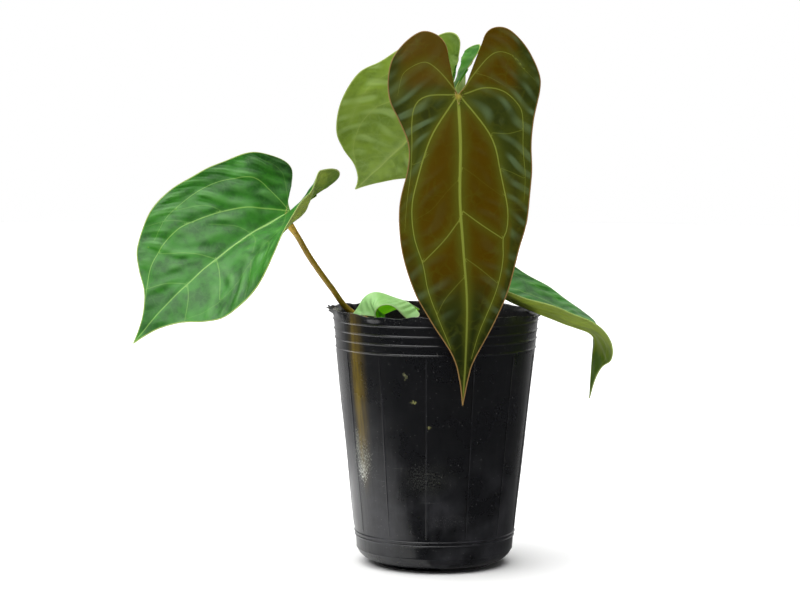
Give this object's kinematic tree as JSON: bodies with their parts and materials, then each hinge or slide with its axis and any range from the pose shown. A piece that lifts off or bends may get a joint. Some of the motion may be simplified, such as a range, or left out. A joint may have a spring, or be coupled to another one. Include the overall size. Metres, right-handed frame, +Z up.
{
  "type": "potted anthurium",
  "caption": "Tall round black plastic nursery pot with rib rings, filled with potting mix, holding a young anthurium with veined heart-shaped leaves on slim stems.",
  "frame": {"origin": "centre of the pot's flat underside", "axes": "+Z up the pot's axis; the newest blade hangs on the -Y side and +X is to the right when looking along +Y"},
  "size_m": [0.2894, 0.1952, 0.3352],
  "materials": {
    "pot": "satin",
    "potting_mix": "matte",
    "crown": "matte",
    "petiole": "satin",
    "new_leaf": "satin",
    "green_leaf": "satin",
    "pale_leaf": "satin"
  },
  "bodies": {
    "root": {"pot": "pot", "potting_mix": "potting_mix", "root_crown": "crown", "petiole_front": "petiole", "petiole_left": "petiole", "petiole_back": "petiole", "petiole_right": "petiole", "petiole_low": "petiole", "leaf_front": "new_leaf", "leaf_left": "green_leaf", "leaf_back": "green_leaf", "leaf_right": "green_leaf", "leaf_low": "pale_leaf"}
  },
  "joints": []
}
